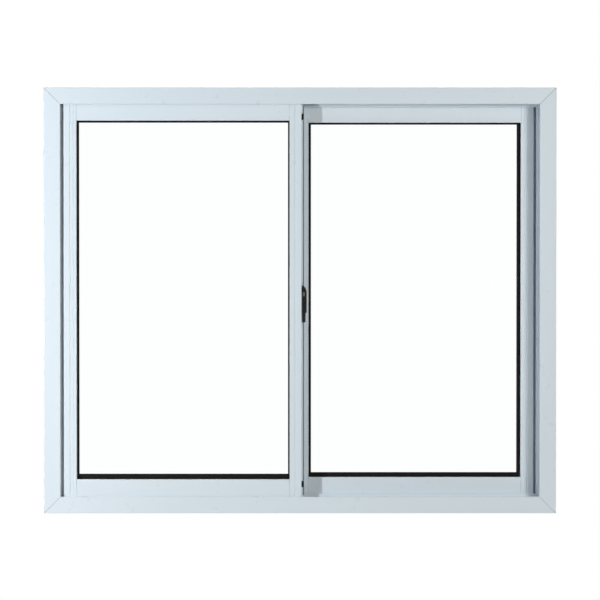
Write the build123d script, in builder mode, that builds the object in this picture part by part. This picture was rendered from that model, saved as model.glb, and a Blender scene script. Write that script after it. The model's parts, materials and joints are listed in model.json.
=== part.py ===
from build123d import *
import math
import os

# Two-track horizontal sliding window in white coated aluminium, seen from the room.
# Millimetres. X runs along the sill, Y points out of the room, Z is up.
# The origin is the middle of the bottom trim's bearing strip, on the wall face.

# Whole window
overall_w = 1200.0
overall_h = 997.0

# Cover trim
trim_face = 38.5          # width seen from the room
trim_stand = 12.0         # how far its front stands off the wall
trim_wall = 1.4
trim_lap = 12.0           # reach beyond the frame, over the wall
trim_round = 1.5
trim_lip_round = 0.5      # inner front edge
foot_w = 10.0             # bearing strip that lies on the wall
leg_l = 7.6               # clip leg beside the frame
leg_gap = 0.3
mitre_gap = 0.3           # hairline at each mitred corner

# Frame profile: an E section with two pockets
frame_wall = 1.4
fin_t = 1.8               # front, middle and outer fins
fin_past = 2.0            # the middle fin reaches past the front lip
track_t = 1.6             # roller track
bead_r = 1.6
track_h = 20.5            # top of the track above the underside of the sill
drain_l = 30.0
drain_h = 5.0
drain_step = 380.0
drain_count = 3

# Sashes
sash_t = 23.0
sash_wall = 1.3
sash_gap = 7.0            # between the two sashes
side_gap = 2.8            # sash face to the pocket wall
stile_face = 30.0         # full-thickness face of the outer stile
step_shown = 7.0          # recessed tongue that shows beside the jamb
step_d = 6.0              # tongue behind each face of the stile
stile_bite = 14.0         # tongue inside the jamb pocket
meeting_w = 28.0
front_past = 3.6          # front meeting stile past the middle of the window
rear_past = 7.9           # rear meeting stile past the middle, the other way
top_face = 37.6           # top rail inside the opening
bottom_face = 40.0        # bottom rail inside the opening
foot_bite = 12.0          # bottom rail inside the sill pocket
head_bite = 10.0          # top rail inside the head pocket
rail_chamber = 17.1
joint_gap = 0.3           # open line between a rail and a stile
edge_round = 0.8
groove_w = 2.0
groove_d = 1.0
stile_groove = 15.0       # groove from the glass edge of the outer stile
meeting_groove = 12.0     # groove from the glass edge of the meeting stile
line_w = 1.0              # fine line beside the glass
line_d = 0.5
line_inset = 7.3
notch_w = 7.0             # cut-out at the foot of a stile, over the track
notch_gap = 1.5

# Interlock between the meeting stiles
lip_l = 6.0
lip_t = 1.6
lip_back = 11.0           # lip behind the sash face
hook_t = 1.3
hook_l = 9.5
hook_gap = 1.0
hook_end = 3.5            # hook stops short of the sill and head lips

# Glass and gaskets
glass_t = 4.0
glass_bite = 8.0
gasket_base = 2.0
groove_clear = 0.3
glazing_w = 13.0
gasket_t = 9.0            # where it shows beside the glass
gasket_top = 3.2
front_gasket_inner = 3.0  # beside the meeting stile
rear_gasket_inner = 5.0
front_gasket_outer = 4.2  # beside the outer stile
rear_gasket_outer = 8.0
front_gasket_low = 11.3
rear_gasket_low = 10.0
gasket_slope_in = 3.0
gasket_slope_t = 2.0

# Rollers
wheel_r = 7.0             # where it rides on the track
wheel_flange = 1.4
wheel_w = 5.6
wheel_groove_w = 3.8
axle_r = 1.5
axle_l = 13.0
axle_gap = 0.1
carriage_l = 56.0
carriage_h = 13.8
carriage_gap = 0.2
wheel_gap = 0.5
ride_gap = 0.05
roller_inset = 70.0       # carriage middle from the end of the rail

# Brush seals
brush_w = 4.5
brush_inset = 0.5
brush_gap = 0.1

# Rubber stops in the jambs
stop_h = 30.0
stop_w = 15.0
stop_gap = 0.1
stop_inset = 120.0
stop_narrow = 3.0

# Guide blocks on the lip of the front sash
guide_h = 14.0
guide_l = 5.5
guide_t = 6.0
guide_inset = 28.0        # middle of a block from the head and from the sill

# Latch
latch_low = 51.5          # tip of the tail below the middle of the window
latch_high = 36.3         # point of the lever above the middle
latch_off = 2.0           # clear of the meeting stile
latch_out = 10.0          # width of the lever
latch_t = 9.0
latch_set = 0.6           # latch front behind the sash face
latch_edge = 0.5          # chamfer round the lever's front
brow_share = 0.72         # bulge of the slanted top, as a share of the reach
brow_rise = 2.0
hip_out = 0.9             # bulge between the lever and its tail
tail_out = 7.4
tail_in = 0.5
tail_top = 30.0           # where the tail meets the lever, below the middle
body_low = 23.9           # straight edge of the lever, below the middle
body_high = 19.0          # straight edge of the lever, above the middle
eye_w = 4.2
eye_h = 10.5
eye_out = 3.5
eye_up = 15.2
latch_base_h = 34.0
tongue_w = 3.0
tongue_h = 14.0
tongue_gap = 0.4          # between the tongue and the lip
keeper_w = 9.0
keeper_h = 34.0
keeper_t = 3.0
keeper_slot = 16.0
keeper_clear = 0.5

# Drain covers
cover_l = 38.0
cover_d = 6.0
cover_wall = 1.2
cover_round = 2.0

# Wall screws
screw_r = 2.5
screw_inset = 150.0

# Places worked out from the sizes above
base_z = -foot_w / 2
top_z = base_z + overall_h
mid_z = (base_z + top_z) / 2
frame_t = trim_face - trim_lap
frame_half = overall_w / 2 - trim_lap
frame_low = base_z + trim_lap
frame_high = top_z - trim_lap
frame_front = trim_wall - trim_stand
light_half = overall_w / 2 - trim_face
light_low = base_z + trim_face
light_high = top_z - trim_face
pocket_front = frame_front + fin_t
front_face_y = pocket_front + side_gap
mid_y = front_face_y + sash_t + sash_gap / 2
frame_back = 2 * mid_y - pocket_front + fin_t
track_off = (sash_t + sash_gap) / 2
track_z = frame_low + track_h

# Sash places, measured from the middle plane between the sashes
face_w = front_face_y - mid_y
back_w = face_w + sash_t
pane_w = face_w + sash_t / 2
edge_out = -light_half - stile_bite
step_x = -light_half + step_shown
glass_edge_out = step_x + stile_face
sash_low = light_low - foot_bite
sash_high = light_high + head_bite
glass_low = light_low + bottom_face
glass_high = light_high - top_face
bite_all = glass_bite + gasket_base + groove_clear

finished = {}


def keep(node, part):
    part.label = node
    finished[node] = part


def block(x0, y0, x1, y1, mode=Mode.ADD):
    """A rectangle of a sketch between two corners."""
    with Locations(((x0 + x1) / 2, (y0 + y1) / 2)):
        Rectangle(abs(x1 - x0), abs(y1 - y0), mode=mode)


def run_plane(side, half, low, high):
    """Section plane of a frame side: local x is depth, local y points into the opening."""
    starts = {
        "top": ((half, 0, high), (-1, 0, 0)),
        "bottom": ((-half, 0, low), (1, 0, 0)),
        "left": ((-half, 0, high), (0, 0, -1)),
        "right": ((half, 0, low), (0, 0, 1)),
    }
    origin, along = starts[side]
    return Plane(origin=origin, x_dir=(0, 1, 0), z_dir=along)


def mitre_both_ends(plane, length):
    """Cuts the part at 45 degrees at its start and at its end."""
    for start, along in ((0, 1), (length, -1)):
        slope = (plane.z_dir * along - plane.y_dir).normalized()
        corner = plane.origin + plane.z_dir * start + slope * (mitre_gap / 2)
        split(bisect_by=Plane(origin=corner, z_dir=slope), keep=Keep.TOP)


def trim_section():
    block(-trim_stand, 0, frame_front, trim_face)
    block(-trim_stand, 0, 0, trim_wall)
    block(-trim_wall, 0, 0, foot_w)
    leg_v = trim_lap - leg_gap - trim_wall
    block(-trim_stand, leg_v, frame_front + leg_l, leg_v + trim_wall)


def frame_section():
    """Floor with three fins, the middle one longer."""
    block(frame_front, 0, frame_back, frame_wall)
    block(frame_front, 0, pocket_front, frame_t)
    block(mid_y - fin_t / 2, 0, mid_y + fin_t / 2, frame_t + fin_past)
    block(frame_back - fin_t, 0, frame_back, frame_t)


def track_section():
    for track_y in (mid_y - track_off, mid_y + track_off):
        block(track_y - track_t / 2, 0, track_y + track_t / 2, track_h - bead_r)
        with Locations((track_y, track_h - bead_r)):
            Circle(bead_r)


# Cover trim: four mitred lengths
for side in ("top", "bottom", "left", "right"):
    length = overall_h if side in ("left", "right") else overall_w
    plane = run_plane(side, overall_w / 2, base_z, top_z)
    with BuildPart() as trim:
        with BuildSketch(plane) as section:
            trim_section()
            front_corners = section.vertices().group_by(Axis.X)[0].sort_by(Axis.Y)
            fillet(front_corners[0], trim_round)
            fillet(front_corners[-1], trim_lip_round)
        extrude(amount=length)
        mitre_both_ends(plane, length)
    keep("trim_" + side, trim.part)

# Main frame: four mitred lengths of the same E section, the sill with its tracks
frame_names = {"top": "frame_head", "bottom": "frame_sill", "left": "left_jamb", "right": "right_jamb"}
for side, node in frame_names.items():
    length = frame_high - frame_low if side in ("left", "right") else 2 * frame_half
    plane = run_plane(side, frame_half, frame_low, frame_high)
    with BuildPart() as member:
        with BuildSketch(plane):
            frame_section()
            if side == "bottom":
                track_section()
        extrude(amount=length)
        mitre_both_ends(plane, length)
        if side == "bottom":
            slot_z = frame_low + frame_wall + drain_h / 2
            with BuildSketch(Plane.XZ.offset(-(mid_y - track_off - bead_r))):
                with Locations((0, slot_z)):
                    with GridLocations(drain_step, 1, drain_count, 1):
                        SlotOverall(drain_l, drain_h)
            extrude(amount=-frame_back, mode=Mode.SUBTRACT)
        if side in ("left", "right"):
            turn = -1 if side == "left" else 1
            screw_y = mid_y - turn * track_off
            outer_face = (turn * frame_half, screw_y, mid_z)
            with BuildSketch(Plane(origin=outer_face, x_dir=(0, 1, 0), z_dir=(turn, 0, 0))):
                with GridLocations(1, frame_high - frame_low - 2 * screw_inset, 1, 2):
                    Circle(screw_r)
            extrude(amount=-2 * frame_wall, mode=Mode.SUBTRACT)
    keep(node, member.part)


def upright(turn, z):
    """Level sketch plane of a sash; the rear sash is the front one turned half round."""
    return Plane(origin=(0, mid_y, z), x_dir=(turn, 0, 0), z_dir=(0, 0, 1))


def across(turn, x):
    """Sketch plane square to the rails: local x is depth, local y is height."""
    return Plane(origin=(turn * x, mid_y, 0), x_dir=(0, turn, 0), z_dir=(turn, 0, 0))


def facing(turn, w):
    """Sketch plane parallel to the glass, at depth w from the middle plane."""
    return Plane(origin=(0, mid_y + turn * w, 0), x_dir=(turn, 0, 0), z_dir=(0, -turn, 0))


def glazing_channel(edge, inward):
    """Glass channel of a stile and the slim chambers beside it."""
    half = glazing_w / 2
    floor = edge - inward * bite_all
    lip = edge - inward * sash_wall
    block(floor, pane_w - half, edge, pane_w + half, Mode.SUBTRACT)
    for skin, web in ((face_w, pane_w - half), (back_w, pane_w + half)):
        turn = 1 if skin < web else -1
        block(floor, skin + turn * sash_wall, lip, web - turn * sash_wall, Mode.SUBTRACT)


def soften(section, corners):
    """Rounds the outer corners of a profile nearest to the given points."""
    picked = [section.vertices().sort_by_distance(Vertex(x, y, 0))[0] for x, y in corners]
    fillet(picked, edge_round)


def foot_notch(turn, start, amount):
    """Cut-out that lets a stile pass over the track."""
    with BuildSketch(across(turn, start)) as notch:
        block(pane_w - notch_w / 2, sash_low, pane_w + notch_w / 2, track_z + notch_gap)
    extrude(notch.sketch, amount=amount, mode=Mode.SUBTRACT)


def v_groove(u, width, depth):
    """Fine line along a stile, on both faces."""
    for skin, turn in ((face_w, 1), (back_w, -1)):
        inner_skin = skin + turn * sash_wall
        block(u - width, inner_skin, u + width, inner_skin + turn * depth)
        corners = ((u - width / 2, skin), (u + width / 2, skin), (u, skin + turn * depth))
        Polygon(*corners, align=None, mode=Mode.SUBTRACT)


def rail_section(outer, inner):
    """Rail between its outer edge, open for the rollers, and its glass edge."""
    inward = 1 if inner > outer else -1
    half = glazing_w / 2
    block(face_w, outer, back_w, inner)
    floor = inner - inward * bite_all
    lip = inner - inward * sash_wall
    block(pane_w - half, floor, pane_w + half, inner, Mode.SUBTRACT)
    for skin, web in ((face_w, pane_w - half), (back_w, pane_w + half)):
        turn = 1 if skin < web else -1
        block(skin + turn * sash_wall, floor, web - turn * sash_wall, lip, Mode.SUBTRACT)
    chamber_top = floor - inward * sash_wall
    chamber_low = chamber_top - inward * rail_chamber
    block(face_w + sash_wall, chamber_low, back_w - sash_wall, chamber_top, Mode.SUBTRACT)
    channel_top = chamber_low - inward * sash_wall
    block(face_w + sash_wall, outer, back_w - sash_wall, channel_top, Mode.SUBTRACT)


rail_start = glass_edge_out + joint_gap
roller_roof = glass_low - bite_all - 2 * sash_wall - rail_chamber

sashes = (
    ("front_sash", 1, front_past, front_gasket_outer, front_gasket_inner, front_gasket_low),
    ("rear_sash", -1, rear_past, rear_gasket_outer, rear_gasket_inner, rear_gasket_low),
)
for sash, turn, meeting_past, gasket_outer, gasket_inner, gasket_low in sashes:
    glass_edge_in = meeting_past - meeting_w
    rail_length = glass_edge_in - glass_edge_out - 2 * joint_gap

    # Outer stile, stepped to a thin tongue with an open edge inside the jamb pocket
    with BuildPart() as outer_stile:
        with BuildSketch(upright(turn, sash_low)) as section:
            block(step_x, face_w, glass_edge_out, back_w)
            soften(section, [(x, w) for x in (step_x, glass_edge_out) for w in (face_w, back_w)])
            glazing_channel(glass_edge_out, 1)
            chamber_in = glass_edge_out - bite_all - sash_wall
            block(step_x + sash_wall, face_w + sash_wall, chamber_in, back_w - sash_wall, Mode.SUBTRACT)
            v_groove(glass_edge_out - stile_groove, groove_w, groove_d)
            v_groove(glass_edge_out - line_inset, line_w, line_d)
            for w, inward in ((face_w + step_d, 1), (back_w - step_d, -1)):
                block(edge_out, w, step_x, w + inward * sash_wall)
        extrude(amount=sash_high - sash_low)
        foot_notch(turn, edge_out, glass_edge_out - edge_out)
    keep(sash + "_outer_stile", outer_stile.part)

    # Meeting stile with its lip and the interlock hook
    with BuildPart() as meeting_stile:
        with BuildSketch(upright(turn, sash_low)) as section:
            block(glass_edge_in, face_w, meeting_past, back_w)
            edges = ((glass_edge_in, face_w), (glass_edge_in, back_w), (meeting_past, face_w))
            soften(section, edges)
            glazing_channel(glass_edge_in, -1)
            chamber_in = glass_edge_in + bite_all + sash_wall
            lip_side = meeting_past - sash_wall
            block(chamber_in, face_w + sash_wall, lip_side, back_w - sash_wall, Mode.SUBTRACT)
            v_groove(glass_edge_in + meeting_groove, groove_w, groove_d)
            lip_w = face_w + lip_back
            block(meeting_past, lip_w, meeting_past + lip_l, lip_w + lip_t)
        extrude(amount=sash_high - sash_low)
        foot_notch(turn, glass_edge_in, meeting_w + lip_l)
        hook_low = light_low + hook_end
        hook_tip = hook_gap / 2 + hook_t
        with BuildSketch(upright(turn, hook_low)):
            block(meeting_past - hook_t, back_w - sash_wall, meeting_past, hook_tip)
            block(meeting_past - hook_l, hook_gap / 2, meeting_past, hook_tip)
        extrude(amount=light_high - hook_end - hook_low)
    keep(sash + "_meeting_stile", meeting_stile.part)

    # Rails, cut square between the stiles
    for rail, outer, inner in (("bottom_rail", sash_low, glass_low), ("top_rail", sash_high, glass_high)):
        with BuildPart() as rail_part:
            with BuildSketch(across(turn, rail_start)) as section:
                rail_section(outer, inner)
                soften(section, ((face_w, inner), (back_w, inner)))
            extrude(amount=rail_length)
        keep(sash + "_" + rail, rail_part.part)

    # Glass
    pane_corners = (
        glass_edge_out - glass_bite, glass_low - glass_bite,
        glass_edge_in + glass_bite, glass_high + glass_bite,
    )
    with BuildPart() as glass:
        with BuildSketch(facing(turn, pane_w + glass_t / 2)):
            block(*pane_corners)
        extrude(amount=glass_t)
    keep(sash + "_glass", glass.part)

    # Gasket wrapped round the edge of the glass, wider below
    in_channel = glass_bite + gasket_base
    sight_low = glass_low + gasket_low
    sight_high = glass_high - gasket_top
    sight_out = glass_edge_out + gasket_outer
    sight_in = glass_edge_in - gasket_inner
    with BuildPart() as gasket:
        with BuildSketch(facing(turn, pane_w + glazing_w / 2)):
            block(
                glass_edge_out - in_channel, glass_low - in_channel,
                glass_edge_in + in_channel, glass_high + in_channel,
            )
            block(glass_edge_out, glass_low, glass_edge_in, glass_high, Mode.SUBTRACT)
        extrude(amount=glazing_w)
        with BuildSketch(facing(turn, pane_w + gasket_t / 2)):
            block(glass_edge_out, glass_low, glass_edge_in, glass_high)
            block(sight_out, sight_low, sight_in, sight_high, Mode.SUBTRACT)
        extrude(amount=gasket_t)
        slope = math.degrees(math.atan2(gasket_slope_in, gasket_slope_t))
        for toward_back in (-1, 1):
            with BuildSketch(facing(turn, pane_w + toward_back * gasket_t / 2)):
                block(
                    sight_out - gasket_slope_in, sight_low - gasket_slope_in,
                    sight_in + gasket_slope_in, sight_high + gasket_slope_in,
                )
            extrude(amount=toward_back * gasket_slope_t, taper=slope, mode=Mode.SUBTRACT)
        with BuildSketch(facing(turn, pane_w + glass_t / 2)):
            block(*pane_corners)
        extrude(amount=glass_t, mode=Mode.SUBTRACT)
    keep(sash + "_gasket", gasket.part)

    # Roller carriages in the bottom rail
    axle_z = track_z + wheel_r + ride_gap
    carriage_top = roller_roof - carriage_gap
    roller_xs = (rail_start + roller_inset, rail_start + rail_length - roller_inset)
    with BuildPart() as carriages:
        with BuildSketch(upright(turn, carriage_top - carriage_h)):
            with Locations([(x, pane_w) for x in roller_xs]):
                Rectangle(carriage_l, sash_t - 2 * sash_wall - 2 * carriage_gap)
                wheel_room = 2 * (wheel_r + wheel_flange + wheel_gap)
                Rectangle(wheel_room, wheel_w + 2 * wheel_gap, mode=Mode.SUBTRACT)
        extrude(amount=carriage_h)
        with BuildSketch(facing(turn, pane_w)):
            with Locations([(x, axle_z) for x in roller_xs]):
                Circle(axle_r + axle_gap)
        extrude(amount=axle_l / 2 + axle_gap, both=True, mode=Mode.SUBTRACT)
    keep(sash + "_roller_carriages", carriages.part)

    with BuildPart() as wheels:
        for x in roller_xs:
            hub = (turn * x, mid_y + turn * pane_w, axle_z)
            with BuildSketch(Plane(origin=hub, x_dir=(0, 0, 1), z_dir=(turn, 0, 0))):
                with BuildLine():
                    rim = wheel_r + wheel_flange
                    Polyline(
                        (0, -axle_l / 2), (axle_r, -axle_l / 2),
                        (axle_r, -wheel_w / 2), (rim, -wheel_w / 2),
                        (wheel_r, -wheel_groove_w / 2), (wheel_r, wheel_groove_w / 2),
                        (rim, wheel_w / 2), (axle_r, wheel_w / 2),
                        (axle_r, axle_l / 2), (0, axle_l / 2), close=True,
                    )
                make_face()
            revolve(axis=Axis(hub, (0, 1, 0)))
    keep(sash + "_roller_wheels", wheels.part)

    # Brush seals on both faces, inside the frame pockets
    near = side_gap - brush_gap
    far = (sash_gap - fin_t) / 2 - brush_gap
    with BuildPart() as brushes:
        for skin, tip, recess in ((face_w, face_w - near, step_d), (back_w, back_w + far, -step_d)):
            with BuildSketch(upright(turn, sash_low)):
                block(edge_out + brush_inset, tip, edge_out + brush_inset + brush_w, skin + recess)
            extrude(amount=sash_high - sash_low)
            with BuildSketch(across(turn, rail_start)):
                block(tip, sash_low + brush_inset, skin, sash_low + brush_inset + brush_w)
                block(tip, sash_high - brush_inset - brush_w, skin, sash_high - brush_inset)
            extrude(amount=rail_length)
    keep(sash + "_brush_seals", brushes.part)

    # Rubber stops on the floor of the jamb pocket
    side = "left" if turn == 1 else "right"
    stop_l = frame_half - frame_wall + edge_out - stop_gap
    with BuildPart() as stops:
        floor_x = -frame_half + frame_wall
        for z in (sash_low + stop_inset, sash_high - stop_inset):
            for x, narrow in ((floor_x, 0), (floor_x + stop_l, stop_narrow)):
                end = (turn * x, mid_y + turn * pane_w, z)
                with BuildSketch(Plane(origin=end, x_dir=(0, 1, 0), z_dir=(turn, 0, 0))):
                    Rectangle(stop_w - narrow, stop_h - narrow)
            loft()
    keep(side + "_jamb_stops", stops.part)

# Guide blocks on the lip of the front sash
lip_face_y = front_face_y + lip_back
with BuildPart() as guides:
    for z in (light_low + guide_inset, light_high - guide_inset):
        with BuildSketch(Plane.XZ.offset(-lip_face_y)):
            with Locations((front_past + guide_l / 2, z)):
                RectangleRounded(guide_l, guide_h, 1.5)
        extrude(amount=guide_t)
keep("front_sash_guide_blocks", guides.part)

# Latch lever: pointed top, straight grip and a slim tail
latch_front_y = front_face_y + latch_set
x0 = front_past + latch_off
with BuildPart() as lever:
    with BuildSketch(Plane.XZ.offset(-(latch_front_y + latch_t))):
        with BuildLine():
            point = (x0 + 0.8, mid_z + latch_high)
            shoulder = (x0 + latch_out, mid_z + body_high)
            waist = (x0 + latch_out, mid_z - body_low)
            neck = (x0 + tail_out, mid_z - tail_top)
            tail_r = (tail_out - tail_in) / 2
            tail_z = mid_z - latch_low + tail_r
            Line((x0, mid_z + body_high), (x0, mid_z + latch_high - 1.0))
            Line((x0, mid_z + latch_high - 1.0), point)
            brow = (x0 + latch_out * brow_share, mid_z + (latch_high + body_high) / 2 + brow_rise)
            hip_z = mid_z - (body_low + tail_top) / 2 - hip_out
            hip = (x0 + (latch_out + tail_out) / 2 + hip_out, hip_z)
            tail_tip = (x0 + tail_out - tail_r, tail_z - tail_r)
            ThreePointArc(point, brow, shoulder)
            Line(shoulder, waist)
            ThreePointArc(waist, hip, neck)
            Line(neck, (x0 + tail_out, tail_z))
            ThreePointArc((x0 + tail_out, tail_z), tail_tip, (x0 + tail_in, tail_z))
            Line((x0 + tail_in, tail_z), (x0 + tail_in, mid_z - tail_top))
            Line((x0 + tail_in, mid_z - tail_top), (x0, mid_z - body_low))
            Line((x0, mid_z - body_low), (x0, mid_z + body_high))
        make_face()
        with Locations((x0 + eye_out, mid_z + eye_up)):
            SlotOverall(eye_h, eye_w, rotation=90, mode=Mode.SUBTRACT)
    extrude(amount=latch_t)
    chamfer(lever.faces().sort_by(Axis.Y)[0].outer_wire().edges(), latch_edge)
keep("latch_lever", lever.part)

# Latch base, between the lever and the lip
tongue_y = latch_front_y + latch_t
latch_base_l = front_past + lip_l - x0
with BuildPart() as latch_base:
    with BuildSketch(Plane.XZ.offset(-lip_face_y)):
        with Locations((x0 + latch_base_l / 2, mid_z + (body_high - body_low) / 2)):
            Rectangle(latch_base_l, latch_base_h)
    extrude(amount=lip_face_y - tongue_y)
keep("latch_base", latch_base.part)

# Latch tongue, from the back of the lever past the lip to the keeper
keeper_y = mid_y + sash_gap / 2
tongue_x = front_past + lip_l + tongue_gap
with BuildPart() as tongue:
    with BuildSketch(Plane.XZ.offset(-tongue_y)):
        with Locations((tongue_x + tongue_w / 2, mid_z)):
            Rectangle(tongue_w, tongue_h)
    extrude(amount=-(keeper_y - keeper_t / 2 - tongue_y))
keep("latch_tongue", tongue.part)

# Keeper on the rear meeting stile
with BuildPart() as keeper:
    with BuildSketch(Plane.XZ.offset(-keeper_y)):
        with Locations((tongue_x + tongue_w / 2, mid_z)):
            RectangleRounded(keeper_w, keeper_h, 1.5)
            Rectangle(tongue_w + 2 * keeper_clear, keeper_slot, mode=Mode.SUBTRACT)
    extrude(amount=keeper_t)
keep("latch_keeper", keeper.part)

# Drain covers on the outside of the sill
with BuildPart() as covers:
    cover_z = frame_low + frame_wall + drain_h / 2
    cover_h = drain_h + 2 * cover_wall
    with BuildSketch(Plane.XZ.offset(-frame_back)):
        with Locations((0, cover_z)):
            with GridLocations(drain_step, 1, drain_count, 1):
                RectangleRounded(cover_l, cover_h, cover_round)
    extrude(amount=-cover_d)
    with BuildSketch(Plane.XZ.offset(-frame_back)):
        with Locations((0, cover_z - cover_wall)):
            with GridLocations(drain_step, 1, drain_count, 1):
                Rectangle(cover_l - 2 * cover_wall, cover_h)
    extrude(amount=-(cover_d - cover_wall), mode=Mode.SUBTRACT)
keep("sill_drain_covers", covers.part)

os.makedirs("parts", exist_ok=True)
for node, part in finished.items():
    export_step(part, "parts/" + node + ".step")
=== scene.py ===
import json
import math

import bmesh
import bpy
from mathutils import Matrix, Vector


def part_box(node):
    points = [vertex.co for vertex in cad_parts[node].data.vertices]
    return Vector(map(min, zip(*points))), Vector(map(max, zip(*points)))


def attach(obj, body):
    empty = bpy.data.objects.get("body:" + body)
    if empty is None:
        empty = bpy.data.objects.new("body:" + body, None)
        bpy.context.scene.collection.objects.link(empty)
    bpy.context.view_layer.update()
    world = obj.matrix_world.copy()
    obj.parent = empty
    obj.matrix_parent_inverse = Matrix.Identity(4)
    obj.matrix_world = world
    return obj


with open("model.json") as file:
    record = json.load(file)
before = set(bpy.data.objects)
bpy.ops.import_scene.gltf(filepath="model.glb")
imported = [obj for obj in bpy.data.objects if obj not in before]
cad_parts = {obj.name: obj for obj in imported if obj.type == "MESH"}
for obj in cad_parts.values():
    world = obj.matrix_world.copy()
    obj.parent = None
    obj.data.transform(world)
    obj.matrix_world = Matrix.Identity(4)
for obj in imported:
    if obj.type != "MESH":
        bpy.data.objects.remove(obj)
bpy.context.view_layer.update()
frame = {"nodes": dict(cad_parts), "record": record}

mm = 0.001
nodes = frame["nodes"]
slotOf = {part["node"]: part["material_slot"] for part in frame["record"]["subparts"]}
print("frame loaded:", len(nodes), "nodes")


# Materials

def srgb(*levels):
    # 0 to 255 levels as linear light
    return tuple(((v / 255 + 0.055) / 1.055) ** 2.4 if v > 10 else v / 255 / 12.92 for v in levels)


def startMaterial(name, metallic=0.0):
    made = bpy.data.materials.new(name)
    made.use_nodes = True
    tree = made.node_tree
    shader = tree.nodes["Principled BSDF"]
    shader.inputs["Metallic"].default_value = metallic
    place = tree.nodes.new("ShaderNodeTexCoord").outputs["Object"]
    return made, tree, shader, place


def mapped(tree, place, scale):
    # stretches a pattern: scale is (x, y, z)
    node = tree.nodes.new("ShaderNodeMapping")
    node.inputs["Scale"].default_value = scale
    tree.links.new(place, node.inputs["Vector"])
    return node.outputs["Vector"]


def noise(tree, place, perMetre, detail=2.0, roughness=0.5):
    node = tree.nodes.new("ShaderNodeTexNoise")
    node.inputs["Scale"].default_value = perMetre
    node.inputs["Detail"].default_value = detail
    node.inputs["Roughness"].default_value = roughness
    tree.links.new(place, node.inputs["Vector"])
    return node.outputs["Fac"]


def spread(tree, value, low, high, fromLow=0.3, fromHigh=0.7):
    # moves a noise value into a range
    node = tree.nodes.new("ShaderNodeMapRange")
    node.inputs["From Min"].default_value = fromLow
    node.inputs["From Max"].default_value = fromHigh
    node.inputs["To Min"].default_value = low
    node.inputs["To Max"].default_value = high
    tree.links.new(value, node.inputs["Value"])
    return node.outputs["Result"]


def blendColors(tree, value, first, second):
    node = tree.nodes.new("ShaderNodeMix")
    node.data_type = "RGBA"
    node.inputs["A"].default_value = (*first, 1)
    node.inputs["B"].default_value = (*second, 1)
    tree.links.new(value, node.inputs["Factor"])
    return node.outputs["Result"]


def bump(tree, shader, height, distance):
    node = tree.nodes.new("ShaderNodeBump")
    node.inputs["Distance"].default_value = distance
    node.inputs["Strength"].default_value = 1.0
    tree.links.new(height, node.inputs["Height"])
    tree.links.new(node.outputs["Normal"], shader.inputs["Normal"])


# White powder coat on extruded aluminium: a faint orange peel, and cloudy tone along the profile
coat = {
    "light": srgb(225, 234, 240),
    "dark": srgb(221, 231, 237),
    "roughness": (0.27, 0.31),
    "peelPerMetre": 900,
    "peelHeight": 0.012 * mm,
    "cloudPerMetre": 9,
    "cloudStretch": 0.12,
    "glossPerMetre": 40,
}


def powderCoat(name, along):
    made, tree, shader, place = startMaterial(name)
    long = coat["cloudStretch"]
    stretch = {"x": (long, 1, 1), "z": (1, 1, long)}[along]
    cloud = noise(tree, mapped(tree, place, stretch), coat["cloudPerMetre"], 2, 0.5)
    tree.links.new(blendColors(tree, spread(tree, cloud, 0, 1), coat["dark"], coat["light"]),
                   shader.inputs["Base Color"])
    peel = noise(tree, place, coat["peelPerMetre"], 2, 0.45)
    low, high = coat["roughness"]
    gloss = noise(tree, place, coat["glossPerMetre"], 3, 0.6)
    tree.links.new(spread(tree, gloss, low, high), shader.inputs["Roughness"])
    bump(tree, shader, peel, coat["peelHeight"])
    return made


coatAcross = powderCoat("whiteCoatAcross", "x")
coatUpright = powderCoat("whiteCoatUpright", "z")

# Black rubber: the gaskets and the stops in the jambs
rubber = {
    "light": srgb(24, 22, 21),
    "dark": srgb(11, 10, 10),
    "roughness": (0.5, 0.7),
    "specular": 0.12,
    "cloudPerMetre": 25,
    "grainPerMetre": 1400,
    "grainHeight": 0.02 * mm,
}


def rubberMaterial():
    made, tree, shader, place = startMaterial("blackRubber")
    cloud = noise(tree, place, rubber["cloudPerMetre"], 4, 0.65)
    tree.links.new(blendColors(tree, spread(tree, cloud, 0, 1), rubber["dark"], rubber["light"]),
                   shader.inputs["Base Color"])
    grain = noise(tree, place, rubber["grainPerMetre"], 2, 0.5)
    low, high = rubber["roughness"]
    tree.links.new(spread(tree, grain, low, high), shader.inputs["Roughness"])
    shader.inputs["Specular IOR Level"].default_value = rubber["specular"]
    bump(tree, shader, grain, rubber["grainHeight"])
    return made


# Moulded plastic, and the sealant in the mitres, each with its own colours and gloss
plastic = {
    "cloudPerMetre": 60,
    "grainPerMetre": 2200,
    "grainHeight": 0.015 * mm,
    "roughnessSwing": 0.06,
    "blackPlastic": {"light": srgb(19, 19, 20), "dark": srgb(9, 9, 10),
                     "roughness": 0.36, "specular": 0.2},
    "greyPlastic": {"light": srgb(150, 148, 146), "dark": srgb(128, 126, 124),
                    "roughness": 0.4, "specular": 0.5},
    "whitePlastic": {"light": srgb(232, 235, 236), "dark": srgb(224, 228, 230),
                     "roughness": 0.42, "specular": 0.5},
    "greySealant": {"light": srgb(134, 138, 140), "dark": srgb(118, 122, 125),
                    "roughness": 0.6, "specular": 0.3},
    "nylonWheel": {"light": srgb(222, 219, 208), "dark": srgb(206, 202, 190),
                   "roughness": 0.45, "specular": 0.5},
}


def mouldedPlastic(name):
    setting = plastic[name]
    made, tree, shader, place = startMaterial(name)
    cloud = noise(tree, place, plastic["cloudPerMetre"], 3, 0.6)
    tree.links.new(blendColors(tree, spread(tree, cloud, 0, 1), setting["dark"], setting["light"]),
                   shader.inputs["Base Color"])
    grain = noise(tree, place, plastic["grainPerMetre"], 2, 0.5)
    middle, swing = setting["roughness"], plastic["roughnessSwing"]
    tree.links.new(spread(tree, grain, middle - swing, middle + swing), shader.inputs["Roughness"])
    shader.inputs["Specular IOR Level"].default_value = setting["specular"]
    bump(tree, shader, grain, plastic["grainHeight"])
    return made


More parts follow.
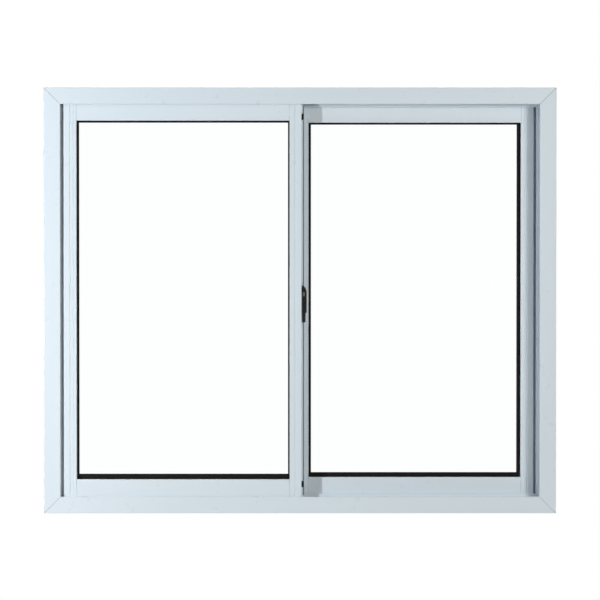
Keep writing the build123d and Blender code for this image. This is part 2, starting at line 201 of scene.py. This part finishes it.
# Clear float glass, a trace greener in places
glass = {
    "tint": srgb(254, 255, 255),
    "greenTint": srgb(252, 255, 254),
    "tintPerMetre": 3,
    "ior": 1.5,
    "haze": 0.012,
    "hazePerMetre": 12,
}


def glassMaterial():
    made, tree, shader, place = startMaterial("clearGlass")
    cloud = noise(tree, place, glass["tintPerMetre"], 2, 0.5)
    tree.links.new(blendColors(tree, cloud, glass["tint"], glass["greenTint"]), shader.inputs["Base Color"])
    haze = noise(tree, place, glass["hazePerMetre"], 2)
    tree.links.new(spread(tree, haze, 0.0, glass["haze"]), shader.inputs["Roughness"])
    shader.inputs["Transmission Weight"].default_value = 1.0
    shader.inputs["IOR"].default_value = glass["ior"]
    return made


# Brush pile: fine fibres across the strip
pile = {
    "light": srgb(150, 153, 156),
    "dark": srgb(96, 99, 102),
    "fibresPerMetre": 2600,
    "fibreStretch": 0.15,
    "fibreHeight": 0.2 * mm,
    "roughness": 0.9,
    "sheen": 0.3,
}


def pileMaterial():
    made, tree, shader, place = startMaterial("greyPile")
    fibres = noise(tree, mapped(tree, place, (1, pile["fibreStretch"], 1)), pile["fibresPerMetre"], 3, 0.7)
    tree.links.new(blendColors(tree, spread(tree, fibres, 0, 1), pile["dark"], pile["light"]),
                   shader.inputs["Base Color"])
    shader.inputs["Roughness"].default_value = pile["roughness"]
    shader.inputs["Sheen Weight"].default_value = pile["sheen"]
    bump(tree, shader, fibres, pile["fibreHeight"])
    return made


# Zinc-plated steel with a drawn grain
steel = {
    "light": srgb(196, 198, 200),
    "dark": srgb(168, 170, 172),
    "roughness": (0.28, 0.42),
    "grainPerMetre": 1500,
    "grainStretch": 0.05,
    "grainHeight": 0.01 * mm,
}


def steelMaterial():
    made, tree, shader, place = startMaterial("zincSteel", metallic=1.0)
    grain = noise(tree, mapped(tree, place, (1, 1, steel["grainStretch"])), steel["grainPerMetre"], 3, 0.6)
    tree.links.new(blendColors(tree, spread(tree, grain, 0, 1), steel["dark"], steel["light"]),
                   shader.inputs["Base Color"])
    low, high = steel["roughness"]
    tree.links.new(spread(tree, grain, low, high), shader.inputs["Roughness"])
    bump(tree, shader, grain, steel["grainHeight"])
    return made


blackRubber = rubberMaterial()
blackPlastic = mouldedPlastic("blackPlastic")
greyPlastic = mouldedPlastic("greyPlastic")
whitePlastic = mouldedPlastic("whitePlastic")
greySealant = mouldedPlastic("greySealant")
nylon = mouldedPlastic("nylonWheel")
clearGlass = glassMaterial()
greyPile = pileMaterial()
zincSteel = steelMaterial()

finishOf = {
    "clear_glass": clearGlass,
    "black_rubber": blackRubber,
    "black_plastic": blackPlastic,
    "grey_pile": greyPile,
    "white_plastic": whitePlastic,
    "nylon": nylon,
    "steel": zincSteel,
}
uprightWords = ("stile", "jamb", "left", "right")
for node, piece in nodes.items():
    finish = finishOf.get(slotOf[node])
    if finish is None:
        finish = coatUpright if any(word in node for word in uprightWords) else coatAcross
    piece.data.materials.clear()
    piece.data.materials.append(finish)
print("materials set")


# Small hardware, modelled from a start shape, then faces picked by place or normal and worked in edit mode

def startPiece(name, add, **settings):
    bpy.ops.object.select_all(action="DESELECT")
    add(**settings)
    piece = bpy.context.object
    piece.name = name
    piece.data.name = name
    return piece


def onlyActive(piece):
    bpy.ops.object.select_all(action="DESELECT")
    piece.select_set(True)
    bpy.context.view_layer.objects.active = piece


def pickFaces(piece, wanted):
    # goes to edit mode with just the wanted faces selected: wanted(centre, normal)
    if piece.mode != "EDIT":
        onlyActive(piece)
        bpy.ops.object.mode_set(mode="EDIT")
    bpy.ops.mesh.select_mode(type="FACE")
    bpy.ops.mesh.select_all(action="DESELECT")
    mesh = bmesh.from_edit_mesh(piece.data)
    for face in mesh.faces:
        face.select_set(wanted(face.calc_center_median(), face.normal))
    bmesh.update_edit_mesh(piece.data)


def pickEdges(piece, wanted):
    # the same for edges: wanted(one end, other end)
    if piece.mode != "EDIT":
        onlyActive(piece)
        bpy.ops.object.mode_set(mode="EDIT")
    bpy.ops.mesh.select_mode(type="EDGE")
    bpy.ops.mesh.select_all(action="DESELECT")
    mesh = bmesh.from_edit_mesh(piece.data)
    for edge in mesh.edges:
        edge.select_set(wanted(edge.verts[0].co, edge.verts[1].co))
    bmesh.update_edit_mesh(piece.data)


def settle(piece, finish, smooth=35):
    # puts the place into the mesh, and gives the piece its body, slot and finish
    if piece.mode == "EDIT":
        bpy.ops.object.mode_set(mode="OBJECT")
    onlyActive(piece)
    bpy.ops.object.transform_apply(location=True, rotation=True, scale=True)
    bpy.ops.object.shade_smooth_by_angle(angle=math.radians(smooth))
    piece.data.materials.clear()
    piece.data.materials.append(finish)
    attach(piece, "root")


def copyOf(piece, name, at, turn=(0, 0, 0), size=1.0):
    # a copy with its own mesh, set in place
    onlyActive(piece)
    bpy.ops.object.duplicate()
    made = bpy.context.object
    made.name = name
    made.data.name = name
    made.location = at
    made.rotation_euler = turn
    made.scale = (size, size, size)
    return made


def dropPiece(piece):
    onlyActive(piece)
    bpy.ops.object.delete()


def cutWith(piece, cutter):
    onlyActive(piece)
    cut = piece.modifiers.new("cut", "BOOLEAN")
    cut.operation = "DIFFERENCE"
    cut.solver = "EXACT"
    cut.object = cutter
    bpy.ops.object.modifier_apply(modifier="cut")
    dropPiece(cutter)


# Pan-head screw with a cross recess, head up, its seat at zero height
screw = {
    "headRadius": 4.2 * mm,
    "headHeight": 2.4 * mm,
    "headRound": 1.3 * mm,
    "shankRadius": 2.1 * mm,
    "shankLength": 8.0 * mm,
    "tip": 0.25,
    "tipShare": 0.3,
    "crossLong": 4.6 * mm,
    "crossWide": 1.1 * mm,
    "crossDeep": 1.5 * mm,
    "crossTaper": 0.6,
    "sides": 28,
}


def makeScrew():
    high = screw["headHeight"]
    piece = startPiece("screw", bpy.ops.mesh.primitive_cylinder_add, vertices=screw["sides"],
                       radius=screw["headRadius"], depth=high, location=(0, 0, 0))
    pickFaces(piece, lambda centre, normal: normal.z > 0.9)
    bpy.ops.mesh.bevel(offset=screw["headRound"], segments=4, affect="EDGES")
    pickFaces(piece, lambda centre, normal: normal.z < -0.9)
    bpy.ops.mesh.inset(thickness=screw["headRadius"] - screw["shankRadius"])
    for share in (1 - screw["tipShare"], screw["tipShare"]):
        bpy.ops.mesh.extrude_region_move(
            TRANSFORM_OT_translate={"value": (0, 0, -screw["shankLength"] * share)})
    bpy.ops.transform.resize(value=(screw["tip"], screw["tip"], 1))
    bpy.ops.object.mode_set(mode="OBJECT")
    for along in (0, 1):
        size = [screw["crossWide"], screw["crossWide"], 2 * screw["crossDeep"]]
        size[along] = screw["crossLong"]
        bar = startPiece("crossBar", bpy.ops.mesh.primitive_cube_add, size=1, location=(0, 0, high / 2),
                         scale=size)
        pickFaces(bar, lambda centre, normal: normal.z < -0.9)
        bpy.ops.transform.resize(value=(screw["crossTaper"], screw["crossTaper"], 1))
        bpy.ops.object.mode_set(mode="OBJECT")
        cutWith(piece, bar)
    return piece


headSeat = screw["headHeight"] / 2
quarter = math.pi / 2
jambFloor = 0.5866
screws = {
    "wallScrewLeftLow": {"at": (-jambFloor, 0.0355, 0.157), "out": (0, quarter, 0), "size": 1.0},
    "wallScrewLeftHigh": {"at": (-jambFloor, 0.0355, 0.830), "out": (0, quarter, 0), "size": 1.0},
    "wallScrewRightLow": {"at": (jambFloor, 0.0055, 0.157), "out": (0, -quarter, 0), "size": 1.0},
    "wallScrewRightHigh": {"at": (jambFloor, 0.0055, 0.830), "out": (0, -quarter, 0), "size": 1.0},
    "keeperScrewLow": {"at": (0.0115, 0.0210, 0.4808), "out": (quarter, 0, 0), "size": 0.5},
    "keeperScrewHigh": {"at": (0.0115, 0.0210, 0.5062), "out": (quarter, 0, 0), "size": 0.5},
    "latchScrewLow": {"at": (0.0076, 0.0066, 0.4790), "out": (-quarter, 0, 0), "size": 0.42},
    "latchScrewHigh": {"at": (0.0076, 0.0066, 0.5030), "out": (-quarter, 0, 0), "size": 0.42},
}
screwMaster = makeScrew()
for name, setting in screws.items():
    turn = setting["out"]
    outward = Vector((math.sin(turn[1]), -math.sin(turn[0]), 0))  # the way the head faces
    place = Vector(setting["at"]) + outward * headSeat * setting["size"]
    settle(copyOf(screwMaster, name, place, turn, setting["size"]), zincSteel)
dropPiece(screwMaster)
print("screws made:", len(screws))

# Plate in the eye of the latch lever
eyePlate = {"width": 3.8 * mm, "height": 10.1 * mm, "depth": 6.0 * mm, "front": -3.9 * mm,
            "middle": (9.1 * mm, 508.7 * mm), "round": 1.85 * mm, "rim": 0.45 * mm, "dish": 0.4 * mm,
            "dishTaper": (0.9, 1, 0.95)}


def makeEyePlate():
    x, z = eyePlate["middle"]
    y = eyePlate["front"] + eyePlate["depth"] / 2
    size = (eyePlate["width"], eyePlate["depth"], eyePlate["height"])
    piece = startPiece("latchEyePlate", bpy.ops.mesh.primitive_cube_add, size=1, location=(x, y, z), scale=size)
    bpy.ops.object.transform_apply(location=False, rotation=False, scale=True)
    pickEdges(piece, lambda a, b: abs(a.y - b.y) > 1 * mm)
    bpy.ops.mesh.bevel(offset=eyePlate["round"], segments=6, affect="EDGES")
    pickFaces(piece, lambda centre, normal: normal.y < -0.9)
    bpy.ops.mesh.inset(thickness=eyePlate["rim"])
    bpy.ops.mesh.extrude_region_move(TRANSFORM_OT_translate={"value": (0, eyePlate["dish"], 0)})
    bpy.ops.transform.resize(value=eyePlate["dishTaper"])
    settle(piece, greyPlastic)


makeEyePlate()

# Fine grip ribs across the straight part of the lever
rib = {"count": 5, "pitch": 3.2 * mm, "length": 6.4 * mm, "height": 1.1 * mm, "proud": 0.45 * mm,
       "middle": (10.6 * mm, -5.4 * mm, 488.0 * mm), "round": 0.3 * mm}


def makeGripRibs():
    x, y, z = rib["middle"]
    master = startPiece("latchRib", bpy.ops.mesh.primitive_cube_add, size=1, location=(0, 0, 0),
                        scale=(rib["length"], 2 * rib["proud"], rib["height"]))
    bpy.ops.object.transform_apply(location=False, rotation=False, scale=True)
    pickFaces(master, lambda centre, normal: normal.y < -0.9)
    bpy.ops.mesh.bevel(offset=rib["round"], segments=3, affect="EDGES")
    bpy.ops.object.mode_set(mode="OBJECT")
    for step in range(rib["count"]):
        up = (step - (rib["count"] - 1) / 2) * rib["pitch"]
        settle(copyOf(master, "latchRib%d" % (step + 1), (x, y, z + up)), blackPlastic)
    dropPiece(master)


makeGripRibs()
print("latch dressed")

# Pile strips on the lip of the front meeting stile, between the guide blocks and the latch
pileStrip = {"inner": 7.4 * mm, "outer": 9.4 * mm, "lipFace": 5.0 * mm, "backing": 0.3 * mm, "proud": 1.0 * mm,
             "shoulder": 0.25 * mm, "tipTaper": 0.6,
             "runs": ((35.0, 53.6), (69.6, 441.4), (529.6, 917.4), (933.4, 952.0))}  # low and high ends in mm


def makePileStrips():
    middle = (pileStrip["inner"] + pileStrip["outer"]) / 2
    width = pileStrip["outer"] - pileStrip["inner"]
    for count, (low, high) in enumerate(pileStrip["runs"]):
        low, high = low * mm, high * mm
        piece = startPiece("lipPile%d" % (count + 1), bpy.ops.mesh.primitive_cube_add, size=1,
                           location=(middle, pileStrip["lipFace"] - pileStrip["backing"] / 2, (low + high) / 2),
                           scale=(width, pileStrip["backing"], high - low))
        bpy.ops.object.transform_apply(location=False, rotation=False, scale=True)
        pickFaces(piece, lambda centre, normal: normal.y < -0.9)
        bpy.ops.mesh.inset(thickness=pileStrip["shoulder"])
        for share in (0.8, 0.2):
            bpy.ops.mesh.extrude_region_move(
                TRANSFORM_OT_translate={"value": (0, -pileStrip["proud"] * share, 0)})
        bpy.ops.transform.resize(value=(pileStrip["tipTaper"], 1, 1))
        settle(piece, greyPile)


makePileStrips()
print("pile strips made")

# Glazing lips: the thin free edge of each gasket, lying on the room side of the glass
glazingLip = {
    "thick": 1.1 * mm,
    "edgeThick": 0.35 * mm,
    "off": 0.02 * mm,
    "firstInset": 1.0 * mm,
    # x, z and glassY in mm; wide is the lip at the left, right, bottom and top
    "frontLip": {"x": (-520.3, -27.4), "z": (84.8, 912.7), "glassY": 3.5, "wide": (0.3, 0.9, 0.3, 0.7)},
    "rearLip": {"x": (25.1, 516.5), "z": (83.5, 912.7), "glassY": 33.5, "wide": (1.0, 0.3, 0.3, 0.4)},
}


def makeGlazingLip(name):
    setting = glazingLip[name]
    (left, right), (low, high) = setting["x"], setting["z"]
    onLeft, onRight, below, above = setting["wide"]
    thick = glazingLip["thick"]
    y = setting["glassY"] * mm - glazingLip["off"] - thick / 2
    middle = Vector(((left + right) / 2 * mm, y, (low + high) / 2 * mm))
    wide, tall = (right - left) * mm, (high - low) * mm
    piece = startPiece(name, bpy.ops.mesh.primitive_cube_add, size=1, location=middle,
                       scale=(wide, thick, tall))
    bpy.ops.object.transform_apply(location=True, rotation=False, scale=True)
    openWide, openTall = wide - (onLeft + onRight) * mm, tall - (below + above) * mm
    inset = glazingLip["firstInset"]
    for side in (-1, 1):
        pickFaces(piece, lambda centre, normal: normal.y * side > 0.9)
        bpy.ops.mesh.inset(thickness=inset)
        bpy.ops.transform.resize(value=(openWide / (wide - 2 * inset), 1, openTall / (tall - 2 * inset)),
                                 center_override=middle)
        inward = thick - glazingLip["edgeThick"] if side < 0 else 0
        bpy.ops.transform.translate(value=((onLeft - onRight) / 2 * mm, inward, (below - above) / 2 * mm))
    pickFaces(piece, lambda centre, normal: abs(normal.y) > 0.9 and (centre - middle).length < 5 * mm)
    bpy.ops.mesh.bridge_edge_loops()
    bpy.ops.mesh.select_all(action="SELECT")
    bpy.ops.mesh.normals_make_consistent(inside=False)
    settle(piece, blackRubber, smooth=20)


makeGlazingLip("frontLip")
makeGlazingLip("rearLip")
print("glazing lips made")

# Bead of grey sealant in the mitre joint at each corner of the trim
mitreBead = {"long": 52.0 * mm, "wide": 0.7 * mm, "deep": 0.5 * mm, "proud": 0.05 * mm, "edge": 0.2,
             "x": 580.15 * mm, "lowZ": 14.85 * mm, "highZ": 972.15 * mm, "faceY": -12.0 * mm}


def makeMitreBead(name, sideX, sideZ):
    z = mitreBead["highZ"] if sideZ > 0 else mitreBead["lowZ"]
    piece = startPiece(name, bpy.ops.mesh.primitive_cube_add, size=1,
                       location=(sideX * mitreBead["x"], mitreBead["faceY"] + mitreBead["deep"] / 2, z),
                       rotation=(0, -sideX * sideZ * math.pi / 4, 0),
                       scale=(mitreBead["long"], mitreBead["deep"], mitreBead["wide"]))
    bpy.ops.object.transform_apply(location=True, rotation=True, scale=True)
    pickFaces(piece, lambda centre, normal: normal.y < -0.9)
    bpy.ops.mesh.inset(thickness=mitreBead["wide"] * mitreBead["edge"])
    bpy.ops.transform.translate(value=(0, -mitreBead["proud"], 0))
    settle(piece, greySealant)


for name, sideX, sideZ in (("mitreBeadLeftLow", -1, -1), ("mitreBeadRightLow", 1, -1),
                           ("mitreBeadLeftHigh", -1, 1), ("mitreBeadRightHigh", 1, 1)):
    makeMitreBead(name, sideX, sideZ)
print("mitre beads made")

# Corner angles on the outside of the mitred frame, each with four dome rivets
corner = {"leg": 42.0 * mm, "wide": 24.0 * mm, "thick": 1.5 * mm, "middleY": 26.0 * mm, "edge": 0.4 * mm,
          "outX": 588.0 * mm, "lowZ": 7.0 * mm, "highZ": 980.0 * mm}
rivet = {"radius": 3.2 * mm, "height": 1.3 * mm, "places": (0.42, 0.78), "spread": 7.0 * mm,
         "domeShare": 0.8, "dimpleRim": 0.25, "dimpleDeep": 0.3, "sides": 20}


def makeRivet():
    piece = startPiece("rivet", bpy.ops.mesh.primitive_cylinder_add, vertices=rivet["sides"],
                       radius=rivet["radius"], depth=rivet["height"], location=(0, 0, 0))
    pickFaces(piece, lambda centre, normal: normal.z > 0.9)
    bpy.ops.mesh.bevel(offset=rivet["height"] * rivet["domeShare"], segments=4, affect="EDGES")
    pickFaces(piece, lambda centre, normal: normal.z > 0.9)
    bpy.ops.mesh.inset(thickness=rivet["radius"] * rivet["dimpleRim"])
    bpy.ops.mesh.extrude_region_move(
        TRANSFORM_OT_translate={"value": (0, 0, -rivet["height"] * rivet["dimpleDeep"])})
    bpy.ops.object.mode_set(mode="OBJECT")
    return piece


def makeCornerAngle(name, sideX, sideZ, rivetMaster):
    # starts as the leg along the jamb; its end face is drawn out along the head or sill
    thick, leg = corner["thick"], corner["leg"]
    x = sideX * (corner["outX"] + thick / 2)
    edgeZ = corner["highZ"] + thick if sideZ > 0 else corner["lowZ"] - thick
    z = edgeZ - sideZ * leg / 2
    piece = startPiece(name, bpy.ops.mesh.primitive_cube_add, size=1, location=(x, corner["middleY"], z),
                       scale=(thick, corner["wide"], leg))
    bpy.ops.object.transform_apply(location=True, rotation=False, scale=True)
    onlyActive(piece)
    bpy.ops.object.mode_set(mode="EDIT")
    bpy.ops.mesh.select_all(action="SELECT")
    bpy.ops.mesh.bisect(plane_co=(0, 0, edgeZ - sideZ * thick), plane_no=(0, 0, 1))
    pickFaces(piece, lambda centre, normal: normal.x * sideX < -0.9 and abs(centre.z - edgeZ) < thick)
    bpy.ops.mesh.extrude_region_move(TRANSFORM_OT_translate={"value": (-sideX * (leg - thick), 0, 0)})
    bpy.ops.mesh.select_all(action="SELECT")
    bpy.ops.mesh.normals_make_consistent(inside=False)
    bpy.ops.object.mode_set(mode="OBJECT")
    edges = piece.modifiers.new("edges", "BEVEL")
    edges.width = corner["edge"]
    edges.segments = 2
    onlyActive(piece)
    bpy.ops.object.modifier_apply(modifier="edges")
    settle(piece, zincSteel)
    for count, share in enumerate(rivet["places"]):
        y = corner["middleY"] + (1 if count else -1) * rivet["spread"] / 2
        lift = rivet["height"] / 2
        onJamb = (sideX * (corner["outX"] + thick + lift), y, edgeZ - sideZ * leg * share)
        settle(copyOf(rivetMaster, "%sRivetUp%d" % (name, count + 1), onJamb, (0, sideX * quarter, 0)),
               zincSteel)
        along = (sideX * (corner["outX"] + thick - leg * share), y, edgeZ + sideZ * lift)
        headUp = (0 if sideZ > 0 else math.pi, 0, 0)
        settle(copyOf(rivetMaster, "%sRivetAcross%d" % (name, count + 1), along, headUp), zincSteel)


rivetMaster = makeRivet()
for name, sideX, sideZ in (("cornerLeftLow", -1, -1), ("cornerRightLow", 1, -1),
                           ("cornerLeftHigh", -1, 1), ("cornerRightHigh", 1, 1)):
    makeCornerAngle(name, sideX, sideZ, rivetMaster)
dropPiece(rivetMaster)
print("corner angles made")

# Rain flap hanging in each drain cover
flap = {"wide": 30.0 * mm, "high": 4.6 * mm, "thick": 0.8 * mm, "tilt": math.radians(12), "step": 380.0 * mm,
        "y": 54.6 * mm, "z": 10.6 * mm, "pin": 0.8 * mm, "pinSpread": (1.06, 1.8, 1)}


def makeFlaps():
    master = startPiece("flap", bpy.ops.mesh.primitive_cube_add, size=1, location=(0, 0, 0),
                        scale=(flap["wide"], flap["thick"], flap["high"]))
    bpy.ops.object.transform_apply(location=False, rotation=False, scale=True)
    pickFaces(master, lambda centre, normal: normal.z > 0.9)
    bpy.ops.mesh.extrude_region_move(TRANSFORM_OT_translate={"value": (0, 0, flap["pin"])})
    bpy.ops.transform.resize(value=flap["pinSpread"])
    pickFaces(master, lambda centre, normal: abs(normal.y) > 0.9)
    bpy.ops.mesh.inset(thickness=flap["thick"])
    bpy.ops.object.mode_set(mode="OBJECT")
    for count in (-1, 0, 1):
        settle(copyOf(master, "drainFlap%d" % (count + 2), (count * flap["step"], flap["y"], flap["z"]),
                      (flap["tilt"], 0, 0)), whitePlastic)
    dropPiece(master)


makeFlaps()
print("drain flaps made")


# Stage: a pale floor under the window, and a white surround
stage = {
    "floorDrop": 0.9,
    "floorRadius": 2.0,
    "floorColor": srgb(210, 210, 210),
    "floorRoughness": 0.85,
    "rimStart": 0.35,  # the floor fades from lift to pure white between these shares of its radius
    "rimEnd": 0.97,
    "lift": 0.72,
}


def backdropRay(tree):
    # 1 where the camera sees a surface straight, in a gloss or through the glass
    path = tree.nodes.new("ShaderNodeLightPath")
    total = path.outputs["Is Camera Ray"]
    for ray in ("Is Glossy Ray", "Is Transmission Ray"):
        larger = tree.nodes.new("ShaderNodeMath")
        larger.operation = "MAXIMUM"
        tree.links.new(total, larger.inputs[0])
        tree.links.new(path.outputs[ray], larger.inputs[1])
        total = larger.outputs["Value"]
    return total


def makeFloor():
    bpy.ops.object.select_all(action="DESELECT")
    bpy.ops.mesh.primitive_circle_add(vertices=128, radius=stage["floorRadius"], fill_type="NGON",
                                      location=(0, 0, -stage["floorDrop"]))
    floor = bpy.context.object
    floor.name = "floor"
    made, tree, shader, place = startMaterial("paleFloor")
    shader.inputs["Base Color"].default_value = (*stage["floorColor"], 1)
    shader.inputs["Roughness"].default_value = stage["floorRoughness"]
    white = tree.nodes.new("ShaderNodeEmission")
    white.inputs["Color"].default_value = (1, 1, 1, 1)
    reach = tree.nodes.new("ShaderNodeVectorMath")
    reach.operation = "LENGTH"
    tree.links.new(place, reach.inputs[0])
    rim = spread(tree, reach.outputs["Value"], stage["lift"], 1,
                 stage["floorRadius"] * stage["rimStart"], stage["floorRadius"] * stage["rimEnd"])
    seen = tree.nodes.new("ShaderNodeMath")  # the white shows straight, in gloss and through glass
    seen.operation = "MULTIPLY"
    tree.links.new(rim, seen.inputs[0])
    tree.links.new(backdropRay(tree), seen.inputs[1])
    mix = tree.nodes.new("ShaderNodeMixShader")
    tree.links.new(seen.outputs["Value"], mix.inputs["Fac"])
    tree.links.new(shader.outputs["BSDF"], mix.inputs[1])
    tree.links.new(white.outputs["Emission"], mix.inputs[2])
    tree.links.new(mix.outputs["Shader"], tree.nodes["Material Output"].inputs["Surface"])
    floor.data.materials.append(made)


def makeSurround(ambient):
    world = bpy.data.worlds.new("whiteSurround")
    bpy.context.scene.world = world
    world.use_nodes = True
    tree = world.node_tree
    background = tree.nodes["Background"]
    background.inputs["Color"].default_value = (*ambient["color"], 1)
    background.inputs["Strength"].default_value = ambient["strength"]
    seen = tree.nodes.new("ShaderNodeBackground")
    seen.inputs["Color"].default_value = (1, 1, 1, 1)
    seen.inputs["Strength"].default_value = 1.0
    mix = tree.nodes.new("ShaderNodeMixShader")
    tree.links.new(backdropRay(tree), mix.inputs["Fac"])
    tree.links.new(background.outputs["Background"], mix.inputs[1])
    tree.links.new(seen.outputs["Background"], mix.inputs[2])
    tree.links.new(mix.outputs["Shader"], tree.nodes["World Output"].inputs["Surface"])


# Lamps: a small one at the left throws the shadow beside the meeting stile, and one above it brightens
# the head. Soft ones at the right fill in, kept off the far stile by the deep right jamb, and the last
# three light the back and the top.
lamps = {
    "leftLamp": {"at": (-1.9, -1.155, 0.39), "size": 0.06, "watts": 31.2,
                "color": (0.975, 0.98, 1.0), "shines": True},
    "highLamp": {"at": (-1.5, -0.95, 2.0), "size": 0.3, "watts": 9.8,
                "color": (0.70, 0.86, 1.0), "shines": False},
    "rightPanel": {"at": (2.3, -2.6, 0.9), "size": 0.9, "watts": 48.5,
                  "color": (1.0, 1.0, 0.96), "shines": False},
    "sidePanel": {"at": (1.3, -1.3, 1.1), "size": 0.7, "watts": 2.9,
                 "color": (0.98, 1.0, 1.0), "shines": False},
    "backLeftPanel": {"at": (-1.6, 2.4, 1.5), "size": 1.4, "watts": 41.0,
                     "color": (0.97, 0.98, 1.0), "shines": False},
    "backRightPanel": {"at": (1.6, 2.4, 1.1), "size": 1.4, "watts": 35.0,
                      "color": (0.97, 0.98, 1.0), "shines": False},
    "topPanel": {"at": (0.0, 0.7, 2.6), "size": 1.2, "watts": 18.0,
                "color": (0.98, 0.99, 1.0), "shines": False},
}
ambient = {"color": (0.96, 0.98, 1.0), "strength": 0.03}
aim = Vector((0, 0, 0.49))


def makeLamps():
    for name, setting in lamps.items():
        bpy.ops.object.select_all(action="DESELECT")
        bpy.ops.object.light_add(type="AREA", location=setting["at"])
        lamp = bpy.context.object
        lamp.name = name
        lamp.data.shape = "DISK"
        lamp.data.size = setting["size"]
        lamp.data.energy = setting["watts"]
        lamp.data.color = setting["color"]
        lamp.visible_camera = False
        lamp.visible_transmission = False
        lamp.visible_glossy = setting["shines"]  # a panel's edge would show in the glass
        lamp.rotation_euler = (aim - lamp.location).to_track_quat("-Z", "Y").to_euler()


# Camera: straight in front, a touch above the middle and tipped down
view = {"distance": 2.43, "height": 0.5114, "tip": math.radians(0.386), "lens": 62.3, "sensor": 36.0}


def makeCamera():
    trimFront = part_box("trim_top")[0].y
    bpy.ops.object.select_all(action="DESELECT")
    bpy.ops.object.camera_add(location=(0, trimFront - view["distance"], view["height"]),
                              rotation=(math.pi / 2 - view["tip"], 0, 0))
    camera = bpy.context.object
    camera.data.lens = view["lens"]
    camera.data.sensor_width = view["sensor"]
    bpy.context.scene.camera = camera


makeFloor()
makeSurround(ambient)
makeLamps()
makeCamera()
bpy.context.scene.view_settings.view_transform = "Standard"
print("stage, lamps and camera set")
